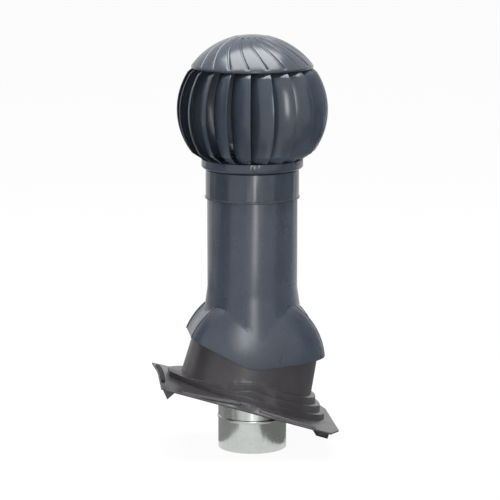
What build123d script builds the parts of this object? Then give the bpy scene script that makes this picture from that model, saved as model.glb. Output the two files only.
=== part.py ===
"""Insulated roof ventilation outlet with a spinning turbine head.

Millimetres, +Z up along the duct. The origin is the centre of the duct's lower end.
+X points down the roof slope, so the eaves line and the levelling axis run along Y.
"""
from build123d import *
from math import asin, cos, degrees, radians, sin, sqrt, tan
import os

# Galvanised duct and its insulation
duct_radius = 62.0
duct_wall = 0.8
duct_bead_z = 58.0
duct_bead_height = 1.5
duct_bead_half_width = 3.0
duct_top_z = 484.0
nest_gap = 0.3
insulation_bottom_z = 118.0
insulation_end_gap = 0.3

# Outer pipe with its flared foot and hood, one moulding
pipe_radius = 81.0
pipe_wall = 2.5
pipe_top_z = 490.0
flare_top_z = 297.0
flare_angle = 8.0
flare_foot_z = 205.0
pivot_z = 164.0
hood_radius = 125.0
hood_half_width = 97.0
hood_wall = 3.0
hood_band_half = 45.0
hood_rib_width = 3.5
hood_rib_height = 1.6
cheek_points = 8
hood_edge_drop = 2.5
hood_edge_break_x = -12.0
hood_edge_rise_up = 26.5
hood_edge_rise_down = 4.6
hood_edge_radius = 60.0

# Roof base plate
roof_pitch = 17.6
crest_z = 102.3
base_wall = 3.0
plate_up_x = -176.0
plate_down_x = 158.0
plate_up_half = 101.0
plate_down_half = 128.0
plate_folds = ((-176.0, 12.0, -13.5), (-163.0, 20.0, -13.0), (-142.0, 45.0, -11.8), (-107.0, 75.0, -9.8),
               (-72.0, 92.0, -7.7), (-37.0, 104.0, -5.6), (-17.0, 106.0, -4.5), (20.0, 101.0, -6.1),
               (60.0, 95.0, -7.9), (100.0, 85.0, -9.8), (158.0, 78.0, -11.3))
wing_drop_up = 20.0
wing_drop_down = 10.2
plate_corner_length = 26.0
plate_corner_width = 48.0
cut_past = 5.0
terrace_plan = ((-160.0, 17.0), (-142.0, 39.0), (-125.0, 56.0), (-107.0, 70.5), (-90.0, 80.5), (-72.0, 88.5),
                (-55.0, 95.0), (-37.0, 100.5), (-17.0, 103.0), (0.0, 102.0), (20.0, 98.5), (40.0, 94.5),
                (60.0, 89.0), (80.0, 81.5), (100.0, 70.0), (114.0, 58.0), (126.0, 42.0), (135.0, 22.0))
terrace_end_x = 138.0
terrace_half = 103.0
terrace_count = 3
terrace_first = 6.3
terrace_step = 13.0
terrace_side_ledge = 3.3
terrace_end_ledge = 8.7
terrace_break_x = -14.0
terrace_rises = (14.0, 0.0, 0.0)
terrace_pitch = 20.0
terrace_reach = 170.0

# Dome that the hood slides over
dome_tilt = 13.4
dome_length_radius = 117.0
dome_width_radius = 91.0
dome_draft = 3.75
dome_foot = 88.0
dome_head = 62.0
dome_fit = 0.35
dome_side_wall = 3.4
dome_swept_below = 24.0
dome_opening_angle = 56.0
dome_opening_half = 79.6

# Stiffening beads, corner lugs and seals of the base
bead_radius = 3.5
bead_sink = 1.2
bead_inset = 6.5
bead_starts = (-135.0, 5.0)
bead_length = 100.0
lug_start = 2.0
lug_root = 24.0
lug_tip = 14.0
lug_depth = 16.0
lug_inset = 1.5
lug_wall = 2.6
seal_width = 7.0
seal_height = 4.0
seal_margin = 1.5
seal_half = 62.0
end_seal_x = 122.0
end_seal_width = 22.0
end_seal_half = 124.0
end_seal_depth = 23.0

# Socket sleeve, its bracket and the axle
sleeve_wall = 2.4
sleeve_bottom_z = 459.0
sleeve_top_z = 511.0
sleeve_lip_height = 4.0
sleeve_lip = 1.6
throat_radius = 79.0
throat_wall = 2.4
throat_top_z = 522.0
bracket_arms = 3
bracket_arm_width = 14.0
bracket_arm_height = 5.0
bracket_ring_width = 5.0
bracket_hub_radius = 13.0
bracket_hub_height = 17.0
axle_radius = 5.0
axle_flange_radius = 7.5
axle_flange_height = 3.0
axle_thread_below = 11.0
axle_chamfer = 0.8
axle_thread_above = 9.0
nut_across_flats = 16.0
nut_height = 6.0
washer_height = 1.2
spacer_wall = 2.0
shaft_fit = 0.05

# Ball bearings of the turbine head
bearing_radius = 13.0
bearing_width = 8.0
bearing_outer_wall = 2.2
bearing_inner_wall = 2.6
bearing_shield_gap = 0.4
bearing_shield = 0.8

# Turbine head
turbine_z = 616.5
turbine_offset = 8.3
turbine_arc = 126.5
vane_count = 20
vane_phase = -98.5
vane_wall = 1.8
vane_edge_angle = 18.0
vane_turn = 46.0
vane_curve = 0.43
vane_fold_top_z = 684.5
vane_fold_bottom_z = 543.5
vane_top_z = 696.0
vane_top_radius = 101.0
vane_foot_radius = 90.0
vane_ring_radius = 91.1
vane_ring_wall = 3.2
vane_ring_top_z = 529.5
vane_ring_bottom_z = 513.0
vane_ring_web = 3.0
vane_ring_bore = 70.0
vane_ring_chamfer = 3.0
ring_notch_width = 3.0
ring_notch_depth = 2.0
ring_seam_angle = -94.2
ring_seam_turn = 3.3
ring_seam_width = 0.9
ring_seam_depth = 0.7
spoke_count = 5
spoke_width = 9.0
hub_wall = 4.0
hub_lip = 2.5

# Cap of the turbine head
cap_sphere = 134.2
cap_radius = 108.7
cap_top_z = 751.0
cap_wall = 2.6
cap_rim_height = 3.0
cap_crown_radius = 32.0
cap_crown_step = 0.6
cap_seat_radius = 88.0
cap_seat_width = 7.0
groove_phase = -100.9
groove_twist = 26.0
groove_end_gap = 3.0
groove_cutter = 2.3
groove_depth_in = 1.2
groove_depth_out = 1.9
groove_points = 7

# Values that follow from those above
duct_bore = duct_radius - duct_wall
pipe_bore = pipe_radius - pipe_wall
insulation_top_z = duct_top_z - insulation_end_gap
sleeve_bore = pipe_radius + nest_gap
sleeve_radius = sleeve_bore + sleeve_wall
sleeve_shoulder_z = pipe_top_z + nest_gap
bracket_z = sleeve_shoulder_z + sleeve_wall
bracket_hub_top_z = bracket_z + bracket_hub_height
lower_bearing_z = bracket_hub_top_z + axle_flange_height
cap_centre_z = cap_top_z - cap_sphere
upper_bearing_z = cap_top_z - 35.0
hub_radius = bearing_radius + shaft_fit + hub_wall
crest_plane = Plane(origin=(0, 0, crest_z), x_dir=(cos(radians(roof_pitch)), 0, -sin(radians(roof_pitch))),
                    z_dir=(sin(radians(roof_pitch)), 0, cos(radians(roof_pitch))))
dome_plane = Plane(origin=(0, 0, pivot_z), x_dir=(cos(radians(dome_tilt)), 0, -sin(radians(dome_tilt))),
                   z_dir=(sin(radians(dome_tilt)), 0, cos(radians(dome_tilt))))


def tube(outer, inner, low, high):
    """Plain ring about Z from one height to another."""
    ring = Cylinder(outer, high - low) - Cylinder(inner, 3 * (high - low))
    return Pos(0, 0, (low + high) / 2) * ring


def turned(points):
    """Body of revolution about Z from its (radius, height) outline."""
    return revolve(Plane.XZ * make_face(Polyline(points, close=True)), Axis.Z)


def side_prism(points, half_width):
    """Outline in the X-Z plane carried to both sides along Y."""
    face = Plane.XZ * make_face(Polyline(points, close=True))
    return extrude(face, half_width, both=True)


def inner_duct():
    """Seamed spigot duct with one swaged bead near its open end."""
    low = duct_bead_z - duct_bead_half_width
    high = duct_bead_z + duct_bead_half_width

    def outline(radius):
        bead = ThreePointArc((radius, low), (radius + duct_bead_height, duct_bead_z), (radius, high))
        return [Line((radius, 0), (radius, low)), bead, Line((radius, high), (radius, duct_top_z))]

    ends = [Line((duct_bore, 0), (duct_radius, 0)), Line((duct_bore, duct_top_z), (duct_radius, duct_top_z))]
    return revolve(Plane.XZ * make_face(outline(duct_radius) + outline(duct_bore) + ends), Axis.Z)


def insulation_sleeve():
    """Foam sleeve between the duct and the outer pipe."""
    return tube(pipe_bore - nest_gap, duct_radius + nest_gap, insulation_bottom_z, insulation_top_z)


def cheek_line(radius, half_width, band_half, side):
    """Quarter of an ellipse from a cheek's pole to the edge of the band."""
    turns = [radians(90) * step / cheek_points for step in range(cheek_points + 1)]
    points = [(side * (band_half + (half_width - band_half) * cos(turn)), radius * sin(turn)) for turn in turns]
    return Spline(points, tangents=[(0, 1), (-side, 0)])


def sliding_form(inset, rib_height=0.0):
    """Barrel about the levelling axis: a round band, ribbed at its edges, between two rounded cheeks."""
    radius = hood_radius - inset
    half_width = hood_half_width - inset
    edge = hood_band_half
    inner = edge - hood_rib_width
    rim = radius + rib_height
    band = [(edge, radius), (-edge, radius)]
    if rib_height:
        band = [(edge, radius), (edge, rim), (inner, rim), (inner, radius)]
        band += [(-x, y) for x, y in reversed(band)]
    cheeks = [cheek_line(radius, half_width, edge, side) for side in (1, -1)]
    outline = cheeks + Polyline(band).edges() + [Line((-half_width, 0), (half_width, 0))]
    form = revolve(make_face(outline), Axis.X)
    return Pos(0, 0, pivot_z) * Rot(0, 0, 90) * Rot(-90, 0, 0) * form


def hood_keep():
    """Everything above the hood's lower edge, which rises gently one way and steeply up the slope."""
    reach = 2 * hood_radius
    edge_z = pivot_z - hood_edge_drop
    up = edge_z + tan(radians(hood_edge_rise_up)) * (reach + hood_edge_break_x)
    down = edge_z + tan(radians(hood_edge_rise_down)) * (reach - hood_edge_break_x)
    edge = Polyline([(reach, down), (hood_edge_break_x, edge_z), (-reach, up)])
    edge = fillet(edge.vertices().sort_by(Axis.X)[1], hood_edge_radius)
    top = Polyline([(-reach, up), (-reach, pipe_top_z), (reach, pipe_top_z), (reach, down)])
    face = Plane.XZ * make_face(edge.edges() + top.edges())
    return extrude(face, reach, both=True)


def flare_radius(z):
    """Outer radius of the flared foot at a height."""
    return pipe_radius + tan(radians(flare_angle)) * (flare_top_z - z)


def pipe_form(wall):
    """Pipe and flared foot as one solid body, drawn in by a wall thickness."""
    low = flare_foot_z - wall
    top = pipe_top_z + wall
    body = pipe_radius - wall
    return turned([(0, low), (flare_radius(low) - wall, low), (body, flare_top_z), (body, top), (0, top)])


def outer_pipe():
    """Pipe, flare and sliding hood in one moulding, open right through."""
    hollow = sliding_form(hood_wall)
    bore = pipe_form(pipe_wall)
    hood = sliding_form(0, hood_rib_height) - hollow
    pipe = pipe_form(0) - bore - hollow
    return ((hood & hood_keep()) - bore) + pipe


def terrace_outline(inset, end_inset):
    """Plan of a terrace: a prow up the slope, wide shoulders and a rounded lower end."""
    share = 1 - inset / terrace_half
    half = [(x - end_inset * max(0.0, x) / terrace_end_x, y * share) for x, y in terrace_plan]
    half[0] = (half[0][0] + min(inset, end_inset), half[0][1])
    end = (terrace_end_x - end_inset, 0.0)
    curve = Spline(half + [end] + [(x, -y) for x, y in reversed(half)])
    return make_face([curve, Line(curve @ 1, curve @ 0)])


def on_crest(face, low, high):
    """Prism on a plan outline, standing square to the roof."""
    return extrude(crest_plane * (Pos(0, 0, low) * face), high - low, dir=crest_plane.z_dir)


def crest_height(x):
    """Height of the plate's flat middle above the origin at a place down the slope."""
    return crest_z - tan(radians(roof_pitch)) * x


def terrace_form(index, wall):
    """Terrace: level or rising gently up the slope from its break, steeper than the roof below it."""
    top = crest_height(terrace_break_x) + terrace_first + index * terrace_step - wall
    rise = tan(radians(terrace_rises[index])) * terrace_reach
    fall = tan(radians(terrace_pitch)) * terrace_reach
    start = terrace_break_x - terrace_reach
    end = terrace_break_x + terrace_reach
    side = side_prism([(start, top + rise), (terrace_break_x, top), (end, top - fall), (end, -fall),
                       (start, -fall)], plate_down_half)
    plan = terrace_outline(index * terrace_side_ledge + wall, index * terrace_end_ledge + wall)
    upright = extrude(crest_plane * plan, pivot_z, dir=(0, 0, 1), both=True)
    return side & upright


def dome_form(wall, side_wall):
    """Tapered oval drum under a rounded head that the hood slides on."""
    spread = tan(radians(dome_draft))

    def oval(height):
        length = dome_length_radius - side_wall - spread * height
        width = dome_width_radius - side_wall - spread * height
        return dome_plane * (Pos(0, 0, height) * Ellipse(length, width))

    drum = loft([oval(-dome_foot), oval(dome_head)], ruled=True)
    head = sliding_form(hood_wall + dome_fit + wall)
    swept = head + (drum & dome_side(-dome_foot - 10, -dome_swept_below))
    return drum & swept


def dome_side(low, high):
    """Slab square to the dome's own axis."""
    return dome_plane * (Pos(0, 0, (low + high) / 2) * Box(600, 600, high - low))


def wing_place(x):
    """Half-width of the plate and of its middle, the middle's level and the edge's, along the slope."""
    share = (x - plate_up_x) / (plate_down_x - plate_up_x)
    half = plate_up_half + share * (plate_down_half - plate_up_half)
    edge = -wing_drop_up - share * (wing_drop_down - wing_drop_up)
    after = next(place for place in range(1, len(plate_folds)) if x <= plate_folds[place][0])
    (x_before, fold_before, level_before), (x_after, fold_after, level_after) = plate_folds[after - 1:after + 1]
    part = (x - x_before) / (x_after - x_before)
    fold = fold_before + part * (fold_after - fold_before)
    level = level_before + part * (level_after - level_before)
    return half, fold, level, edge


def plate_section(x, low, high):
    """Cross-section of the plate: its middle with a wing folded down at each side."""
    half, fold, level, edge = wing_place(x)
    points = [(-half, edge), (-fold, level), (fold, level), (half, edge)]
    upper = [(y, z + high) for y, z in points]
    lower = [(y, z + low) for y, z in reversed(points)]
    plane = Plane(origin=crest_plane.from_local_coords((x, 0, 0)), x_dir=(0, 1, 0), z_dir=crest_plane.x_dir)
    return plane * make_face(Polyline(upper + lower, close=True))


def plate_body(low, high):
    """Plate between two heights over its own top face, wider towards the eaves."""
    return loft([plate_section(place[0], low, high) for place in plate_folds], ruled=True)


def bead(start):
    """One long stiffening bead pressed up from a wing of the plate."""
    ends = []
    for x in (start, start + bead_length):
        half, fold, level, edge = wing_place(x)
        height = edge + (level - edge) * bead_inset / (half - fold)
        ends.append(Vector(x, bead_inset - half, height - bead_sink))
    first, last = ends
    rod = Solid.make_cylinder(bead_radius, (last - first).length, Plane(origin=first, z_dir=(last - first)))
    local = rod + Pos(*first) * Sphere(bead_radius) + Pos(*last) * Sphere(bead_radius)
    return crest_plane * local


def lug():
    """Corner of the plate drawn down to a point beside the prow."""
    y = -(plate_up_half - lug_inset)
    z = -(wing_drop_up + base_wall / 2)
    start = plate_up_x + lug_start
    outline = [(start, z), (start + lug_root, z), (start + lug_tip, z - lug_depth)]
    face = Plane(origin=(0, y, 0), x_dir=(1, 0, 0), z_dir=(0, 1, 0)) * make_face(
        Polyline([(x, -height) for x, height in outline], close=True))
    return crest_plane * extrude(face, lug_wall)


def corner_cut():
    """Lower corner of the plate taken off at a slant."""
    x = plate_down_x
    y = plate_down_half
    points = [(x - plate_corner_length, -y - cut_past), (x + cut_past, -y - cut_past),
              (x + cut_past, -y + plate_corner_width), (x, -y + plate_corner_width)]
    return on_crest(make_face(Polyline(points, close=True)), -pivot_z, pivot_z)


def roof_base():
    """Moulded base plate with prow, terraces and dome, hollow underneath."""
    raised = (bead(bead_starts[0]) + bead(bead_starts[1])) & plate_body(-0.1, pivot_z)
    fins = lug()
    solid = plate_body(-base_wall, 0) + raised + mirror(raised, Plane.XZ) + fins + mirror(fins, Plane.XZ)
    form = dome_form(0, 0)
    for index in range(terrace_count):
        form += terrace_form(index, 0)
    body = solid + (form & plate_body(-base_wall, 2 * pivot_z)) - dome_form(base_wall, dome_side_wall)
    for index in range(terrace_count):
        body -= terrace_form(index, base_wall)
    cut = corner_cut()
    return body - cut - mirror(cut, Plane.XZ) - dome_opening()


def dome_opening():
    """Opening in the dome's head that lets the insulated duct lean both ways."""
    reach = 2 * hood_radius
    x = reach * sin(radians(dome_opening_angle))
    z = reach * cos(radians(dome_opening_angle))
    return side_prism([(0, pivot_z), (-x, pivot_z + z), (-x, pivot_z + reach), (x, pivot_z + reach),
                       (x, pivot_z + z)], dome_opening_half)


def upslope_seal():
    """Foam strip laid across the plate above the prow's tip."""
    middle = plate_up_x + seal_margin + seal_width / 2
    window = on_crest(Pos(middle, 0) * Rectangle(seal_width, 2 * seal_half), -pivot_z, pivot_z)
    return plate_body(0, seal_height) & window


def downslope_seal():
    """Rubber bar fitted under the lower end of the plate, flat where it meets the roof."""
    bar = on_crest(Pos(end_seal_x, 0) * Rectangle(end_seal_width, 2 * end_seal_half), -end_seal_depth, 0)
    return bar & plate_body(-2 * end_seal_depth, -base_wall)


def socket_sleeve():
    """Sleeve pushed over the pipe's top, with a lip below and the turbine's throat above."""
    lip = sleeve_radius + sleeve_lip
    lip_top = sleeve_bottom_z + sleeve_lip_height
    throat = throat_radius - throat_wall
    return turned([(sleeve_bore, sleeve_bottom_z), (lip, sleeve_bottom_z), (lip, lip_top - 2),
                   (sleeve_radius, lip_top), (sleeve_radius, sleeve_top_z - 1), (sleeve_radius - 1, sleeve_top_z),
                   (throat_radius, sleeve_top_z), (throat_radius, throat_top_z), (throat, throat_top_z),
                   (throat, sleeve_shoulder_z), (sleeve_bore, sleeve_shoulder_z)])


def bracket_ring_radius():
    """Outside of the bracket's ring, which stands in the throat."""
    return throat_radius - throat_wall - nest_gap


def axle_bracket():
    """Spoked bracket in the throat that holds the axle upright."""
    outer = bracket_ring_radius()
    ring = tube(outer, outer - bracket_ring_width, bracket_z, bracket_z + bracket_arm_height)
    hub = tube(bracket_hub_radius, axle_radius + shaft_fit, bracket_z, bracket_hub_top_z)
    reach = outer - bracket_ring_width / 2 - bracket_hub_radius / 2
    arm = Pos(bracket_hub_radius / 2 + reach / 2, 0, bracket_z + bracket_arm_height / 2) * Box(
        reach, bracket_arm_width, bracket_arm_height)
    arms = [Rot(0, 0, 360 / bracket_arms * turn) * arm for turn in range(bracket_arms)]
    bore = Pos(0, 0, bracket_z) * Cylinder(axle_radius + shaft_fit, 4 * bracket_hub_height)
    return (ring + hub + arms) - bore


def axle():
    """Steel axle with a flange that rests on the bracket's hub."""
    low = bracket_z - axle_thread_below
    high = upper_bearing_z + bearing_width + axle_thread_above
    tip = axle_radius - axle_chamfer
    return turned([(0, low), (tip, low), (axle_radius, low + axle_chamfer), (axle_radius, bracket_hub_top_z),
                   (axle_flange_radius, bracket_hub_top_z), (axle_flange_radius, lower_bearing_z),
                   (axle_radius, lower_bearing_z), (axle_radius, high - axle_chamfer), (tip, high), (0, high)])


def nut(z):
    """Hexagon nut with its lower face at a height."""
    hexagon = RegularPolygon(nut_across_flats / 2, 6, major_radius=False)
    body = extrude(hexagon, nut_height) - Cylinder(axle_radius + shaft_fit, 4 * nut_height)
    return Pos(0, 0, z) * body


def washer():
    """Washer between the upper nut and the upper bearing's inner ring."""
    low = upper_bearing_z + bearing_width
    return tube(axle_flange_radius, axle_radius + shaft_fit, low, low + washer_height)


def spacer_tube():
    """Tube that keeps the two inner bearing rings apart."""
    bore = axle_radius + shaft_fit
    return tube(bore + spacer_wall, bore, lower_bearing_z + bearing_width, upper_bearing_z)


def bearing_outer(z):
    """Outer ring of a bearing with a shield at each face."""
    inner_edge = axle_radius + shaft_fit + bearing_inner_wall + bearing_shield_gap
    wall = bearing_radius - bearing_outer_wall
    top = bearing_width
    return Pos(0, 0, z) * turned([(inner_edge, 0), (bearing_radius, 0), (bearing_radius, top), (inner_edge, top),
                                  (inner_edge, top - bearing_shield), (wall, top - bearing_shield),
                                  (wall, bearing_shield), (inner_edge, bearing_shield)])


def bearing_inner(z):
    """Inner ring of a bearing."""
    bore = axle_radius + shaft_fit
    return tube(bore + bearing_inner_wall, bore, z, z + bearing_width)


def barrel_radius(z):
    """Radius of the turbine's bulging outline at a height."""
    return turbine_offset + sqrt(turbine_arc ** 2 - (z - turbine_z) ** 2)


def vane_section(z, radius, wall):
    """Plan section of a vane: a curved strip from its deep inner end to its outer edge."""
    curve = vane_curve * radius

    def at(angle, offset):
        centre_x = -curve * sin(radians(vane_edge_angle))
        centre_y = radius - curve * cos(radians(vane_edge_angle))
        reach = curve - offset
        return (centre_x + reach * sin(radians(angle)), centre_y + reach * cos(radians(angle)))

    first = vane_edge_angle
    middle = vane_edge_angle + vane_turn / 2
    last = vane_edge_angle + vane_turn
    outer = ThreePointArc(at(first, 0), at(middle, 0), at(last, 0))
    inner = ThreePointArc(at(first, wall), at(middle, wall), at(last, wall))
    ends = [Line(at(first, 0), at(first, wall)), Line(at(last, 0), at(last, wall))]
    return Pos(0, 0, z) * make_face([outer, inner] + ends)


def vane():
    """One vane: folded in at the foot and at the top, bulging between the folds."""
    levels = 6
    rise = (vane_fold_top_z - vane_fold_bottom_z) / levels
    heights = [vane_fold_bottom_z + rise * step for step in range(levels + 1)]
    belly = loft([vane_section(z, barrel_radius(z), vane_wall) for z in heights])
    foot = loft([vane_section(vane_ring_top_z, vane_foot_radius, vane_wall * 1.5),
                 vane_section(vane_fold_bottom_z, barrel_radius(vane_fold_bottom_z), vane_wall)], ruled=True)
    crown = loft([vane_section(vane_fold_top_z, barrel_radius(vane_fold_top_z), vane_wall),
                  vane_section(vane_top_z, vane_top_radius, vane_wall * 1.5)], ruled=True)
    return belly + foot + crown


def vane_ring():
    """Lower ring of the turbine with notches for the vanes, spokes and the lower hub."""
    inner = vane_ring_radius - vane_ring_wall
    skirt = turned([(inner, vane_ring_bottom_z), (vane_ring_radius - vane_ring_chamfer, vane_ring_bottom_z),
                    (vane_ring_radius, vane_ring_bottom_z + vane_ring_chamfer),
                    (vane_ring_radius, vane_ring_top_z), (vane_ring_bore, vane_ring_top_z),
                    (vane_ring_bore, vane_ring_top_z - vane_ring_web), (inner, vane_ring_top_z - vane_ring_web)])
    hub_low = lower_bearing_z - 1
    hub = tube(hub_radius, axle_flange_radius + 1, hub_low, vane_ring_top_z)
    reach = vane_ring_bore + 4 - hub_radius + 2
    spoke = Pos(hub_radius - 2 + reach / 2, 0, vane_ring_top_z - vane_ring_web / 2) * Box(
        reach, spoke_width, vane_ring_web)
    spokes = [Rot(0, 0, 360 / spoke_count * turn) * spoke for turn in range(spoke_count)]
    seat_height = bearing_width + 1
    seat = Pos(0, 0, hub_low + seat_height / 2) * Cylinder(bearing_radius + shaft_fit, seat_height)
    notch = Pos(vane_ring_radius, 0, vane_ring_top_z) * Box(
        2 * ring_notch_depth, ring_notch_width, 2 * ring_notch_depth)
    notches = [Rot(0, 0, vane_phase + 4 + 360 / vane_count * turn) * notch for turn in range(vane_count)]
    seam = Pos(vane_ring_radius, 0, vane_ring_bottom_z) * Box(
        2 * ring_seam_depth, ring_seam_width, 3 * (vane_ring_top_z - vane_ring_bottom_z))
    seams = [Rot(0, 0, ring_seam_angle + side * ring_seam_turn / 2) * seam for side in (-1, 1)]
    return skirt + hub + spokes - seat - notches - seams


def groove(turn):
    """Ball-ended cutter path of one spiral groove over the cap."""
    end_r = cap_radius - groove_end_gap
    path = []
    for step in range(groove_points):
        share = step / (groove_points - 1)
        radius = cap_crown_radius + share * (end_r - cap_crown_radius)
        depth = groove_depth_in + share * (groove_depth_out - groove_depth_in)
        angle = radians(groove_phase + 360 / vane_count * turn - groove_twist * (1 - share))
        shell = cap_sphere + groove_cutter - depth
        flat = radius * shell / cap_sphere
        path.append((flat * cos(angle), flat * sin(angle), cap_centre_z + sqrt(shell ** 2 - flat ** 2)))
    spine = Spline(path)
    circle = (Plane(origin=spine @ 0, z_dir=spine % 0)) * Circle(groove_cutter)
    rod = sweep(circle, path=spine)
    return rod + Pos(*path[-1]) * Sphere(groove_cutter)


def cap_shell():
    """Domed shell of the cap with its upright rim and the shallow crown disc."""
    rim_top = cap_centre_z + sqrt(cap_sphere ** 2 - cap_radius ** 2)
    rim_low = rim_top - cap_rim_height
    inner = cap_sphere - cap_wall
    under = cap_radius - cap_wall
    under_z = cap_centre_z + sqrt(inner ** 2 - under ** 2)

    def dome_arc(radius, r_edge, r_start=0.0):
        start = asin(r_start / radius)
        stop = asin(r_edge / radius)
        points = [(radius * sin(a), cap_centre_z + radius * cos(a)) for a in (start, (start + stop) / 2, stop)]
        return ThreePointArc(*points)

    outer = dome_arc(cap_sphere, cap_radius)
    lower = dome_arc(inner, under)
    lines = [Line((cap_radius, rim_top), (cap_radius, rim_low)), Line((cap_radius, rim_low), (under, rim_low)),
             Line((under, rim_low), (under, under_z)), Line((0, cap_centre_z + inner), (0, cap_top_z))]
    shell = revolve(Plane.XZ * make_face([outer, lower] + lines), Axis.Z)
    disc = Pos(0, 0, cap_top_z) * Cylinder(cap_crown_radius, 30)
    lowered = Pos(0, 0, cap_centre_z) * Sphere(cap_sphere - cap_crown_step)
    return shell - (disc - lowered)


def turbine_cap():
    """Cap with 20 spiral grooves, a seat ring for the vanes and the upper bearing's boss."""
    shell = cap_shell()
    inner = cap_sphere - cap_wall / 2
    within = Pos(0, 0, cap_centre_z) * Sphere(inner)
    seat = tube(cap_seat_radius + cap_seat_width, cap_seat_radius, vane_top_z, cap_top_z) & within
    boss = tube(hub_radius, bearing_radius - hub_lip, upper_bearing_z - 1, cap_top_z) & within
    pocket = Pos(0, 0, upper_bearing_z - 1 + (bearing_width + 1) / 2) * Cylinder(
        bearing_radius + shaft_fit, bearing_width + 1)
    body = shell + seat + boss - pocket
    grooves = [groove(turn) for turn in range(vane_count)]
    return body - grooves


def parts():
    """Every piece by name."""
    pieces = {
        "inner_duct": inner_duct(),
        "insulation_sleeve": insulation_sleeve(),
        "outer_pipe": outer_pipe(),
        "roof_base": roof_base(),
        "upslope_seal": upslope_seal(),
        "downslope_seal": downslope_seal(),
        "socket_sleeve": socket_sleeve(),
        "axle_bracket": axle_bracket(),
        "axle": axle(),
        "axle_lower_nut": nut(bracket_z - nut_height),
        "axle_upper_nut": nut(upper_bearing_z + bearing_width + washer_height),
        "axle_washer": washer(),
        "axle_spacer_tube": spacer_tube(),
        "lower_bearing_outer_ring": bearing_outer(lower_bearing_z),
        "lower_bearing_inner_ring": bearing_inner(lower_bearing_z),
        "upper_bearing_outer_ring": bearing_outer(upper_bearing_z),
        "upper_bearing_inner_ring": bearing_inner(upper_bearing_z),
        "vane_ring": vane_ring(),
        "turbine_cap": turbine_cap(),
    }
    blade = Rot(0, 0, vane_phase - 90) * vane()
    for number in range(vane_count):
        pieces[f"vane_{number + 1:02d}"] = Rot(0, 0, 360 / vane_count * number) * blade
    return pieces


def main():
    """Write one file for each piece."""
    os.makedirs("parts", exist_ok=True)
    for name, piece in parts().items():
        export_step(piece, f"parts/{name}.step")


main()
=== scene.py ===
"""Looks of the insulated roof outlet with its wind-driven turbine head.

Metres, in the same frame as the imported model: +Z up, +X down the roof slope.
"""
import bpy
from math import cos, radians, sin
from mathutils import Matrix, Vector

MM = 0.001

# Camera, matched to the photograph's picture size of 500 by 500
CAMERA_AZIMUTH = -7.0
CAMERA_DISTANCE = 4.249
CAMERA_HEIGHT = 1.1421
CAMERA_PITCH = 10.4
CAMERA_FOCAL = 172.8
SENSOR_WIDTH = 36.0
PICTURE_SIZE = 500
AXIS_SHIFT = 2.3
FAR_CLIP = 200

# Levels of the studio light. The share is how much of the floor the camera and gloss see as even white
WORLD_LEVEL = 0.42
FLOOR_WHITE = 0.92
FLOOR_SHARE = 0.95
FLOOR_SIDE = 60.0
WHITE = (1, 1, 1, 1)

# Lamps aim at this height on the part's axis
AIM_HEIGHT = 0.4

# Softboxes round the part: azimuth from the camera, height, distance, then the box's width, height and watts
SOFTBOXES = {"front_softbox": (4.0, 1.5, 4.2, 0.8, 2.4, 62.0),
             "side_softbox": (104.0, 1.2, 3.2, 0.8, 2.2, 22.0),
             "rim_softbox": (-112.0, 1.2, 3.4, 0.8, 2.2, 20.0)}
TOP_SOFTBOX_HEIGHT = 2.9
TOP_SOFTBOX_SIZE = (2.7, 1.7)
TOP_SOFTBOX_WATTS = 125.0

# Grey cards: azimuth from the camera, height, distance, then the card's width, length and level
UPRIGHT_CARDS = {"left_card": (-95.0, 1.2, 2.6, 3.4, 2.3, 0.03),
                 "right_card": (88.0, 1.2, 2.6, 3.2, 2.3, 0.08)}
FLOOR_CARDS = {"left_far_floor_card": (-104.0, 0.001, 1.65, 2.6, 1.7, 0.05),
               "right_far_floor_card": (84.0, 0.001, 1.65, 2.6, 1.7, 0.08),
               "left_near_floor_card": (-104.0, 0.002, 0.435, 1.6, 0.73, 0.34),
               "right_near_floor_card": (80.0, 0.002, 0.435, 1.6, 0.73, 0.24)}

# Sizes of the surfaces' detail, in millimetres. The real rolling and tool lines are finer and wouldn't show
SHADE_DRIFT_MM = 55
HAZE_MM = 14
SPANGLE_MM = 7
ROLLING_LINE_MM = 1.2
ROLLING_LINE_DEPTH_MM = 0.006
TOOL_LINE_MM = 0.8
FOAM_CELL_DEPTH_MM = 0.25
FOAM_HAZE_MM = 10

# Scales that draw a pattern out round the axis, so that it makes lines
ROLLING_SCALE = (0.04, 0.04, 1.0)
TOOL_SCALE = (0.05, 0.05, 1.0)

# Where a noise pattern's factor mostly lies
NOISE_LOW = 0.3
NOISE_HIGH = 0.7

# How far the roughness drifts each way on a surface
PLASTIC_ROUGHNESS_DRIFT = 0.015
STEEL_ROUGHNESS_DRIFT = 0.06
FOAM_ROUGHNESS_DRIFT = 0.05

# Edges are rounded where two faces meet at more than this angle. Points this close are made one first
EDGE_ANGLE = 32.0
EDGE_SEGMENTS = 2
WELD_MM = 0.01
VANE_EDGE_MM = 0.35
BEARING_EDGE_MM = 0.2


def linear(code):
    """Linear colour of an sRGB hex code."""
    values = [int(code[i:i + 2], 16) / 255 for i in (0, 2, 4)]
    return [v / 12.92 if v <= 0.04045 else ((v + 0.055) / 1.055) ** 2.4 for v in values] + [1.0]


def add_node(tree, kind, props=None, values=None, links=None):
    """Add a node with its properties, input values and incoming links."""
    made = tree.nodes.new(kind)
    for name, value in (props or {}).items():
        setattr(made, name, value)
    for name, value in (values or {}).items():
        made.inputs[name].default_value = value
    for name, socket in (links or {}).items():
        tree.links.new(socket, made.inputs[name])
    return made


def surface(name, values):
    """Material with a Principled shader and object coordinates to hang patterns on."""
    material = bpy.data.materials.new(name)
    material.use_nodes = True
    tree = material.node_tree
    tree.nodes.clear()
    shader = add_node(tree, "ShaderNodeBsdfPrincipled", values=values)
    add_node(tree, "ShaderNodeOutputMaterial", links={"Surface": shader.outputs["BSDF"]})
    place = add_node(tree, "ShaderNodeTexCoord").outputs["Object"]
    return material, tree, shader, place


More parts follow.
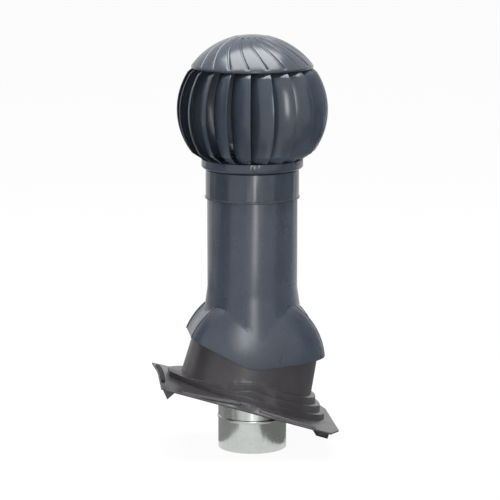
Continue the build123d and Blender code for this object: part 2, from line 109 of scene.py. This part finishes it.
def tone(tree, shader, factor, dark, light, low=0.35, high=0.65):
    """Let the colour drift between two close tones, as a factor goes from low to high."""
    ramp = add_node(tree, "ShaderNodeValToRGB", links={"Fac": factor})
    ramp.color_ramp.elements[0].position = low
    ramp.color_ramp.elements[0].color = linear(dark)
    ramp.color_ramp.elements[1].position = high
    ramp.color_ramp.elements[1].color = linear(light)
    tree.links.new(ramp.outputs["Color"], shader.inputs["Base Color"])


def moulded_plastic(name, dark, light, roughness, grain_mm, grain_depth_mm, flow=(1.0, 1.0, 1.0)):
    """Plastic or rubber from a polished steel mould: satin gloss over a faint orange peel.

    The eye gets soft-edged highlights that break up a little along the mould's flow.
    """
    material, tree, shader, place = surface(name, {"IOR": 1.49, "Metallic": 0.0})
    drift = add_node(tree, "ShaderNodeTexNoise",
                     values={"Scale": 1 / (SHADE_DRIFT_MM * MM), "Detail": 3.0, "Roughness": 0.55},
                     links={"Vector": place})
    tone(tree, shader, drift.outputs["Fac"], dark, light)
    stretched = add_node(tree, "ShaderNodeMapping", values={"Scale": flow}, links={"Vector": place})
    haze = add_node(tree, "ShaderNodeTexNoise",
                    values={"Scale": 1 / (HAZE_MM * MM), "Detail": 4.0, "Roughness": 0.6},
                    links={"Vector": stretched.outputs["Vector"]})
    gloss = add_node(tree, "ShaderNodeMapRange",
                     values={"From Min": NOISE_LOW, "From Max": NOISE_HIGH,
                             "To Min": roughness - PLASTIC_ROUGHNESS_DRIFT,
                             "To Max": roughness + PLASTIC_ROUGHNESS_DRIFT},
                     links={"Value": haze.outputs["Fac"]})
    tree.links.new(gloss.outputs["Result"], shader.inputs["Roughness"])
    peel = add_node(tree, "ShaderNodeTexNoise", values={"Scale": 1 / (grain_mm * MM), "Detail": 2.0},
                    links={"Vector": place})
    bump = add_node(tree, "ShaderNodeBump", values={"Strength": 1.0, "Distance": grain_depth_mm * MM},
                    links={"Height": peel.outputs["Fac"]})
    tree.links.new(bump.outputs["Normal"], shader.inputs["Normal"])
    return material


def galvanised_sheet(name):
    """Hot-dip galvanised steel sheet, rolled into a tube.

    Small zinc crystals, about 7 mm across, barely differ in shade and gloss. Fine rolling lines run round
    the tube and spread its highlights a little.
    """
    material, tree, shader, place = surface(name, {"Metallic": 1.0})
    spangle = add_node(tree, "ShaderNodeTexVoronoi", props={"feature": "SMOOTH_F1"},
                       values={"Scale": 1 / (SPANGLE_MM * MM), "Randomness": 1.0, "Smoothness": 0.6},
                       links={"Vector": place})
    grey = add_node(tree, "ShaderNodeSeparateColor", links={"Color": spangle.outputs["Color"]})
    tone(tree, shader, grey.outputs["Red"], "C3C7C4", "C9CCC9", 0.0, 1.0)
    gloss = add_node(tree, "ShaderNodeMapRange", values={"To Min": 0.25, "To Max": 0.28},
                     links={"Value": grey.outputs["Green"]})
    tree.links.new(gloss.outputs["Result"], shader.inputs["Roughness"])
    squeezed = add_node(tree, "ShaderNodeMapping", values={"Scale": ROLLING_SCALE},
                        links={"Vector": place})
    lines = add_node(tree, "ShaderNodeTexNoise",
                     values={"Scale": 1 / (ROLLING_LINE_MM * MM), "Detail": 3.0},
                     links={"Vector": squeezed.outputs["Vector"]})
    bump = add_node(tree, "ShaderNodeBump",
                    values={"Strength": 1.0, "Distance": ROLLING_LINE_DEPTH_MM * MM},
                    links={"Height": lines.outputs["Fac"]})
    tree.links.new(bump.outputs["Normal"], shader.inputs["Normal"])
    return material


def turned_steel(name, dark, light, roughness):
    """Turned or zinc-plated steel: narrow tool lines round the part and a cool metal sheen."""
    material, tree, shader, place = surface(name, {"Metallic": 1.0})
    squeezed = add_node(tree, "ShaderNodeMapping", values={"Scale": TOOL_SCALE},
                        links={"Vector": place})
    lines = add_node(tree, "ShaderNodeTexNoise",
                     values={"Scale": 1 / (TOOL_LINE_MM * MM), "Detail": 2.0},
                     links={"Vector": squeezed.outputs["Vector"]})
    tone(tree, shader, lines.outputs["Fac"], dark, light)
    gloss = add_node(tree, "ShaderNodeMapRange",
                     values={"To Min": roughness - STEEL_ROUGHNESS_DRIFT,
                             "To Max": roughness + STEEL_ROUGHNESS_DRIFT},
                     links={"Value": lines.outputs["Fac"]})
    tree.links.new(gloss.outputs["Result"], shader.inputs["Roughness"])
    return material


def foam(name, dark, light, cell_mm, roughness):
    """Closed-cell foam cut with a knife: matt, with small open cells at the cut."""
    material, tree, shader, place = surface(name, {"IOR": 1.45})
    cells = add_node(tree, "ShaderNodeTexVoronoi", props={"feature": "DISTANCE_TO_EDGE"},
                     values={"Scale": 1 / (cell_mm * MM)}, links={"Vector": place})
    # Painted shade: the cell edges, which the bump below sinks into grooves, are coloured darker
    tone(tree, shader, cells.outputs["Distance"], dark, light, 0.0, 0.25)
    bump = add_node(tree, "ShaderNodeBump",
                    values={"Strength": 0.6, "Distance": FOAM_CELL_DEPTH_MM * MM},
                    links={"Height": cells.outputs["Distance"]})
    tree.links.new(bump.outputs["Normal"], shader.inputs["Normal"])
    haze = add_node(tree, "ShaderNodeTexNoise", values={"Scale": 1 / (FOAM_HAZE_MM * MM)},
                    links={"Vector": place})
    gloss = add_node(tree, "ShaderNodeMapRange",
                     values={"To Min": roughness - FOAM_ROUGHNESS_DRIFT,
                             "To Max": roughness + FOAM_ROUGHNESS_DRIFT},
                     links={"Value": haze.outputs["Fac"]})
    tree.links.new(gloss.outputs["Result"], shader.inputs["Roughness"])
    return material


def dress(nodes, name, material, edge_mm):
    """Give a carried-over solid its finish, smooth curves and the small edge radius of the real piece."""
    item = nodes[name]
    item.data.materials.clear()
    item.data.materials.append(material)
    for face in item.data.polygons:
        face.use_smooth = True
    weld = item.modifiers.new("weld", "WELD")
    weld.merge_threshold = WELD_MM * MM
    edge = item.modifiers.new("edge", "BEVEL")
    edge.width = edge_mm * MM
    edge.segments = EDGE_SEGMENTS
    edge.limit_method = "ANGLE"
    edge.angle_limit = radians(EDGE_ANGLE)
    edge.harden_normals = True
    edge.use_clamp_overlap = True


def around(azimuth, height, distance):
    """Place in the studio at an angle from the camera's side, to the right of it when positive."""
    turn = radians(CAMERA_AZIMUTH - 90 + azimuth)
    return Vector((distance * cos(turn), distance * sin(turn), height))


def softbox(name, place, width, tall, watts):
    """Studio softbox that faces the middle of the part."""
    lamp = bpy.data.lights.new(name, "AREA")
    lamp.shape = "RECTANGLE"
    lamp.size = width
    lamp.size_y = tall
    lamp.energy = watts
    item = bpy.data.objects.new(name, lamp)
    bpy.context.scene.collection.objects.link(item)
    item.location = place
    aim = Vector((0.0, 0.0, AIM_HEIGHT)) - item.location
    item.rotation_euler = aim.to_track_quat("-Z", "Y").to_euler()


def card(name, upright, azimuth, height, distance, width, tall, level):
    """Evenly lit grey card, upright or on the floor, that glossy surfaces mirror as a soft darker band.

    Only glossy surfaces see it: the camera doesn't, it casts no shadow and tints no matt surface.
    """
    bpy.ops.mesh.primitive_plane_add(size=1)
    item = bpy.context.object
    item.name = name
    item.scale = (width, tall, 1)
    item.location = around(azimuth, height, distance)
    item.rotation_euler = (radians(90.0 if upright else 0.0), 0.0, radians(CAMERA_AZIMUTH + azimuth))
    item.visible_camera = False
    item.visible_diffuse = False
    item.visible_shadow = False
    material = bpy.data.materials.new("grey_card")
    material.use_nodes = True
    tree = material.node_tree
    tree.nodes.clear()
    glow = add_node(tree, "ShaderNodeEmission", values={"Color": WHITE, "Strength": level})
    add_node(tree, "ShaderNodeOutputMaterial", links={"Surface": glow.outputs["Emission"]})
    item.data.materials.append(material)


def surround():
    """White world behind the part that lights it at a lower level than it shows."""
    world = bpy.data.worlds.new("surround")
    bpy.context.scene.world = world
    world.use_nodes = True
    tree = world.node_tree
    tree.nodes.clear()
    rays = add_node(tree, "ShaderNodeLightPath")
    seen = add_node(tree, "ShaderNodeMath", props={"operation": "MAXIMUM"},
                    links={0: rays.outputs["Is Camera Ray"], 1: rays.outputs["Is Glossy Ray"]})
    seen = add_node(tree, "ShaderNodeMath", props={"operation": "MAXIMUM"},
                    links={0: seen.outputs[0], 1: rays.outputs["Is Transmission Ray"]})
    level = add_node(tree, "ShaderNodeMapRange", values={"To Min": WORLD_LEVEL, "To Max": 1.0},
                     links={"Value": seen.outputs[0]})
    light = add_node(tree, "ShaderNodeBackground", values={"Color": WHITE},
                     links={"Strength": level.outputs["Result"]})
    add_node(tree, "ShaderNodeOutputWorld", links={"Surface": light.outputs["Background"]})


def pale_floor():
    """Floor that shows nearly white to the camera and in gloss, and still takes the part's shadow."""
    bpy.ops.mesh.primitive_plane_add(size=FLOOR_SIDE, location=(0, 0, 0))
    floor = bpy.context.object
    floor.name = "studio_floor"
    material = bpy.data.materials.new("pale_studio_floor")
    material.use_nodes = True
    tree = material.node_tree
    tree.nodes.clear()
    rays = add_node(tree, "ShaderNodeLightPath")
    seen = add_node(tree, "ShaderNodeMath", props={"operation": "MAXIMUM"},
                    links={0: rays.outputs["Is Camera Ray"], 1: rays.outputs["Is Glossy Ray"]})
    share = add_node(tree, "ShaderNodeMath", props={"operation": "MULTIPLY"},
                     values={1: FLOOR_SHARE}, links={0: seen.outputs[0]})
    paint = add_node(tree, "ShaderNodeBsdfDiffuse", values={"Color": (FLOOR_WHITE,) * 3 + (1,)})
    glow = add_node(tree, "ShaderNodeEmission", values={"Color": WHITE, "Strength": 1.0})
    both = add_node(tree, "ShaderNodeMixShader",
                    links={0: share.outputs[0], 1: paint.outputs["BSDF"], 2: glow.outputs["Emission"]})
    add_node(tree, "ShaderNodeOutputMaterial", links={"Surface": both.outputs["Shader"]})
    floor.data.materials.append(material)


def studio():
    """Pale floor, white surround, four softboxes and grey cards at the sides."""
    surround()
    pale_floor()
    for name, (azimuth, height, distance, width, tall, watts) in SOFTBOXES.items():
        softbox(name, around(azimuth, height, distance), width, tall, watts)
    softbox("top_softbox", Vector((0.0, 0.0, TOP_SOFTBOX_HEIGHT)), *TOP_SOFTBOX_SIZE, TOP_SOFTBOX_WATTS)
    for name, setting in UPRIGHT_CARDS.items():
        card(name, True, *setting)
    for name, setting in FLOOR_CARDS.items():
        card(name, False, *setting)


def camera():
    """Camera at the photograph's viewing angle."""
    lens = bpy.data.cameras.new("photo_camera")
    lens.lens = CAMERA_FOCAL
    lens.sensor_width = SENSOR_WIDTH
    lens.shift_x = -AXIS_SHIFT / PICTURE_SIZE
    lens.clip_end = FAR_CLIP
    item = bpy.data.objects.new("photo_camera", lens)
    bpy.context.scene.collection.objects.link(item)
    turn = radians(CAMERA_AZIMUTH)
    item.location = (CAMERA_DISTANCE * sin(turn), -CAMERA_DISTANCE * cos(turn), CAMERA_HEIGHT)
    item.rotation_euler = (radians(90 - CAMERA_PITCH), 0, turn)
    bpy.context.scene.camera = item


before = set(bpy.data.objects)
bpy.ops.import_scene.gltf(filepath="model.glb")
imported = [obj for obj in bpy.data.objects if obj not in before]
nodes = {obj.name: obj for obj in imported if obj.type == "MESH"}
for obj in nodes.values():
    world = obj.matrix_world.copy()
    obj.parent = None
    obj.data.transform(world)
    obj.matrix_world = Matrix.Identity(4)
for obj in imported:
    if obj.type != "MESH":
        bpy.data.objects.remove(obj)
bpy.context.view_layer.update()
bpy.context.scene.view_settings.view_transform = "Standard"
camera()
studio()

# Colours from dark to light, roughness, then the grain's width and depth in millimetres
outlet_plastic = moulded_plastic("slate_grey_polypropylene", "323944", "383F4A", 0.28, 2.2, 0.008,
                                 flow=(1.0, 1.0, 0.35))
turbine_plastic = moulded_plastic("slate_grey_polypropylene_gloss", "2F3640", "353D48", 0.23, 2.6, 0.010)
base_plastic = moulded_plastic("charcoal_polypropylene_satin", "343235", "3B393C", 0.33, 1.6, 0.020)
bracket_plastic = moulded_plastic("black_polyamide_moulding", "1C1D20", "222327", 0.42, 1.4, 0.020)
duct_zinc = galvanised_sheet("galvanised_steel_sheet")
axle_steel = turned_steel("bright_turned_steel", "A4A6A8", "C0C2C4", 0.26)
bearing_steel = turned_steel("ground_bearing_steel", "B2B4B7", "CACCCE", 0.16)
nut_zinc = turned_steel("zinc_plated_steel", "A6A8A4", "C4C6C2", 0.34)
duct_foam = foam("cream_insulation_foam", "B9B5A4", "D6D2C2", 2.0, 0.8)
seal_foam = foam("black_seal_foam", "0F0F10", "1C1C1E", 1.2, 0.75)
seal_rubber = moulded_plastic("black_extruded_rubber", "121213", "19191B", 0.58, 1.5, 0.020)

# Each node's material and the radius of its edges in millimetres
finish = {"inner_duct": (duct_zinc, 0.2),
          "insulation_sleeve": (duct_foam, 0.5),
          "outer_pipe": (outlet_plastic, 0.6),
          "roof_base": (base_plastic, 1.2),
          "upslope_seal": (seal_foam, 0.6),
          "downslope_seal": (seal_rubber, 1.0),
          "socket_sleeve": (turbine_plastic, 0.5),
          "axle_bracket": (bracket_plastic, 0.6),
          "axle": (axle_steel, 0.2),
          "axle_lower_nut": (nut_zinc, 0.3),
          "axle_upper_nut": (nut_zinc, 0.3),
          "axle_washer": (nut_zinc, 0.2),
          "axle_spacer_tube": (axle_steel, 0.2),
          "vane_ring": (turbine_plastic, 0.5),
          "turbine_cap": (turbine_plastic, 0.5)}
for name in nodes:
    if name.startswith("vane_") and name != "vane_ring":
        finish[name] = (turbine_plastic, VANE_EDGE_MM)
    elif "bearing" in name:
        finish[name] = (bearing_steel, BEARING_EDGE_MM)
for name, (material, edge_mm) in finish.items():
    dress(nodes, name, material, edge_mm)
